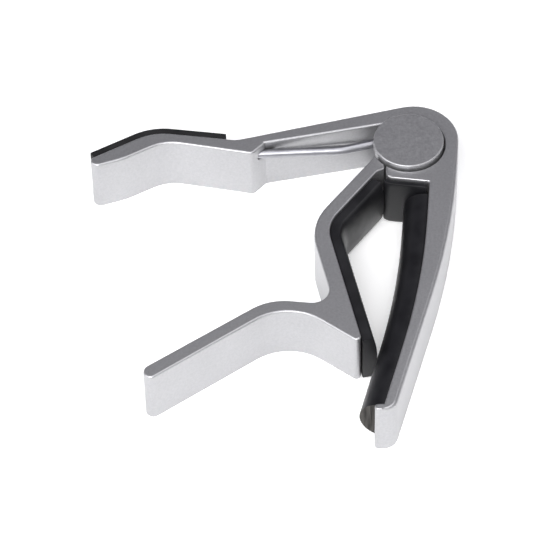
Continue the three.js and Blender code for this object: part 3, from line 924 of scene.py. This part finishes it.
# %% Head rubber
HEAD_END_RADIUS = 1.6
HEAD_END_X = -4.95
HEAD_SLOPE = -9.25
LINER_START_X = 3.4
LINER_STEP = 0.8
LINER_STEPS = 8
LINER_WRAP = 38
head_face = line(0, -9.85, HEAD_SLOPE)
end_centre = at_x(beside(head_face, HEAD_END_RADIUS), HEAD_END_X + HEAD_END_RADIUS)
head_path = [
    at_x(beside(head_face, -GLUE), LINER_START_X - LINER_STEP * i)
    for i in range(LINER_STEPS + 1)
]
for i in range(LINER_STEPS + 1):
    angle = math.radians(HEAD_SLOPE - 90 - LINER_WRAP * i / LINER_STEPS)
    reach = Vector((math.cos(angle), math.sin(angle)))
    head_path.append(end_centre + (HEAD_END_RADIUS + GLUE) * reach)
strip(
    "head_rubber", head_path, crowned(12, edge=1.1, crown=1.5, steps=8),
    FRAME_BODY, [BLACK_RUBBER], "head_pad",
)

# %% [markdown]
# ## Grip rubber
# The finger side of the grip carries a flat strip of matt rubber with square-cut ends. It is
# nearly as wide as the casting is thick, and it bends over the grip's hump. It is the same
# kind of strip again, only with hardly any crown.

# %% Grip rubber
HUMP_BEND = 11.1
GRIP_ENDS = (-65.55, -38.2)
grip_outer = beside(line(-60, 1.54, 28.2), GLUE)
grip_inner = beside(line(-47, 4.15, -9.03), GLUE)
grip_path = rounded_path(
    [
        (at_x(grip_outer, GRIP_ENDS[0]), 0),
        (meet(grip_outer, grip_inner), HUMP_BEND),
        (at_x(grip_inner, GRIP_ENDS[1]), 0),
    ],
    spacing=0.5,
)
strip(
    "grip_rubber", grip_path, crowned(12.2, edge=1.45, crown=1.72, steps=8),
    FRAME_BODY, [GRIP_RUBBER], "grip_pad",
)

# %% [markdown]
# ## The spring's leg
# One length of wire makes the spring: a long leg that lies in front of the arm, a close coil
# round the sleeve, and a short end turned down into the lever. A Screw modifier makes a
# helix, but the leg and the short end would have to be joined on to it. Instead we list the
# points of the wire's middle line from end to end, starting with the leg. It bends a little
# on its way, and then runs straight to the coil, which it meets as a line that just touches.

# %% Leg
WIRE = 1.9
COIL_GAP = 0.45
COIL_RADIUS = sleeve_radius + COIL_GAP + WIRE / 2
LEG_ANGLE = 194
LEG_BEND = 16
LEG_BEND_X = -13.8
LEG_END = Vector((-32.6, 0.6))
spring_low, spring_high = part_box("torsion_spring")
coil_top = spring_high[2] / MM - WIRE / 2
first_angle = math.radians(LEG_ANGLE - 90)
coil_start = (COIL_RADIUS * math.cos(first_angle), COIL_RADIUS * math.sin(first_angle))
leaving = line(*coil_start, LEG_ANGLE)
leg_path = rounded_path(
    [(LEG_END, 0), (at_x(leaving, LEG_BEND_X), LEG_BEND), (leaving[0], 0)], spacing=0.5
)
wire_points = [Vector((point.x, point.y, coil_top)) for point in leg_path]
print("the leg has", len(wire_points), "points and the coil a radius of", round(COIL_RADIUS, 2))

# %% [markdown]
# ## The spring's coil
# A torsion spring is wound close, so each turn falls by the wire's thickness and a hair. Too
# few points would make the coil a polygon, and at its small radius the eye sees that at once.

# %% Coil
COIL_TURNS = 2.49
COIL_STEPS = 48
TURN_GAP = 0.08
COIL_PITCH = WIRE + TURN_GAP
for i in range(1, round(COIL_TURNS * COIL_STEPS) + 1):
    turn = i / COIL_STEPS
    angle = first_angle - turn * 2 * math.pi
    wire_points.append(Vector((
        COIL_RADIUS * math.cos(angle),
        COIL_RADIUS * math.sin(angle),
        coil_top - turn * COIL_PITCH,
    )))
coil_bottom = coil_top - COIL_TURNS * COIL_PITCH
print("the coil falls", round(coil_top - coil_bottom, 2), "mm")

# %% [markdown]
# ## The spring's short end
# The last stretch leaves the coil along its turn and bends straight down, into a hole of the
# lever. Wire can't turn a sharp corner, so the bend is a quarter round.

# %% Short end
SHORT_BEND = 1.4
SHORT_STEPS = 8
last_angle = first_angle - COIL_TURNS * 2 * math.pi
coil_end = Vector((math.cos(last_angle), math.sin(last_angle), 0)) * COIL_RADIUS
coil_end.z = coil_bottom
onward = Vector((math.sin(last_angle), -math.cos(last_angle), 0))
for i in range(1, SHORT_STEPS + 1):
    angle = math.radians(90 * i / SHORT_STEPS)
    drop = Vector((0, 0, SHORT_BEND * (1 - math.cos(angle))))
    wire_points.append(coil_end + onward * (SHORT_BEND * math.sin(angle)) - drop)
foot = wire_points[-1].copy()
foot.z = spring_low[2] / MM
wire_points.append(foot)
print("the wire's middle line has", len(wire_points), "points")

# %% [markdown]
# ## The spring's wire
# A curve with a round bevel gives the line its thickness and closes the two ends, and the
# curve is turned into a mesh at once. When the lever turns, the coil winds up: the top of the
# wire stays with the frame and its foot goes with the lever. So the spring rides on no single
# body.


def wire_mesh(name, points, radius):
    curve = bpy.data.curves.new(name, "CURVE")
    curve.dimensions = "3D"
    spline = curve.splines.new("POLY")
    spline.points.add(len(points) - 1)
    for target, point in zip(spline.points, points):
        target.co = (*(point * MM), 1)
    curve.bevel_depth = radius * MM
    curve.bevel_resolution = 8
    curve.use_fill_caps = True
    holder = bpy.data.objects.new(name, curve)
    bpy.context.collection.objects.link(holder)
    graph = bpy.context.evaluated_depsgraph_get()
    mesh = bpy.data.meshes.new_from_object(holder.evaluated_get(graph))
    bpy.data.objects.remove(holder)
    return mesh


spring_mesh = wire_mesh("spring_wire", wire_points, WIRE / 2)
spring = add_piece(spring_mesh, "spring_wire", None, [BRIGHT], "torsion_spring")
soften(spring, 50)
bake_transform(spring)
print("spring wire", len(spring_mesh.polygons), "faces")

# %% [markdown]
# ## Floor
# The clamp lies on a pale sheet that runs away in every direction. White paper in a light
# tent sends light back up from all of its surface. A white plane alone would turn grey round
# the clamp, so the sheet also glows a little.

# %% Floor
FLOOR_REACH = 3.0
FLOOR_GLOW = 0.28
floor_material, nodes, links, shader = new_material("pale_sheet")
paper = object_noise(nodes, links, 400, detail=2.0)
paper_tone = two_tones(nodes, links, paper, (0.93, 0.93, 0.93), (0.94, 0.94, 0.94))
links.new(paper_tone, shader.inputs["Base Color"])
shader.inputs["Roughness"].default_value = 0.9
shader.inputs["Specular IOR Level"].default_value = 0.1
shader.inputs["Emission Color"].default_value = (1, 1, 1, 1)
shader.inputs["Emission Strength"].default_value = FLOOR_GLOW
floor_mesh = bpy.data.meshes.new("floor")
sheet_corners = [(-1, -1), (1, -1), (1, 1), (-1, 1)]
floor_mesh.from_pydata(
    [(FLOOR_REACH * x, FLOOR_REACH * y, 0) for x, y in sheet_corners], [], [(0, 1, 2, 3)]
)
floor_mesh.materials.append(floor_material)
floor = bpy.data.objects.new("floor", floor_mesh)
bpy.context.collection.objects.link(floor)
floor.location.z = cad_box[0][2] - 0.02 * MM
print("floor at", round(floor.location.z, 5))

# %% [markdown]
# ## Room
# Metal shows what stands round it. The upright walls of the castings look forward at a bright
# tent, so they come out light. Their tops look up and back at the dim part of the studio, so
# they come out darker, and that is what tells top from wall. A room of one grey would make
# both the same. The world therefore fades from bright to dim, by how far each direction
# points up and back.

# %% Room
ROOM_BEHIND = (0.11, 0.107, 0.13)
ROOM_IN_FRONT = (0.82, 0.82, 0.83)
DIM_WAY = Vector((0, 0.64, 0.77))
FADE_FROM = -0.1
FADE_TO = 0.82
world = bpy.data.worlds.new("room")
bpy.context.scene.world = world
world.use_nodes = True
nodes, links = world.node_tree.nodes, world.node_tree.links
direction = nodes.new("ShaderNodeTexCoord")
facing = nodes.new("ShaderNodeVectorMath")
facing.operation = "DOT_PRODUCT"
facing.inputs[1].default_value = DIM_WAY
links.new(direction.outputs["Generated"], facing.inputs[0])
openness = between(nodes, links, facing.outputs["Value"], 1.0, 0.0, FADE_FROM, FADE_TO)
room = two_tones(nodes, links, openness, ROOM_BEHIND, ROOM_IN_FRONT, 0.0, 1.0)
links.new(room, nodes["Background"].inputs["Color"])
print("the room fades from", ROOM_IN_FRONT, "to", ROOM_BEHIND)

# %% [markdown]
# ## Lamps
# Three large round soft boxes do the rest: the main one in front and above, one from the left
# and one overhead. A small lamp would be simpler, but it draws a hard shadow and a white
# spot on every rounded edge. The colours are shown as they are, with no film curve, so that
# the white sheet stays white.


# %% Lamps
def soft_box(name, direction, distance, size, power):
    data = bpy.data.lights.new(name, "AREA")
    data.shape = "DISK"
    data.size = size
    data.energy = power
    lamp = bpy.data.objects.new(name, data)
    bpy.context.collection.objects.link(lamp)
    way = Vector(direction).normalized()
    lamp.location = LOOK_AT + way * distance
    lamp.rotation_mode = "QUATERNION"
    lamp.rotation_quaternion = way.to_track_quat("Z", "Y")
    print(name, power, "W")


soft_box("front_box", (-0.25, -0.75, 0.9), distance=1.2, size=0.9, power=13)
soft_box("side_box", (-1, -0.3, 0.75), distance=1.3, size=0.7, power=5)
soft_box("top_box", (0.3, 0.1, 1), distance=1.4, size=1.0, power=6)
bpy.context.scene.view_settings.view_transform = "Standard"

# %% [markdown]
# ## Finish

# %% The last line
print("done")
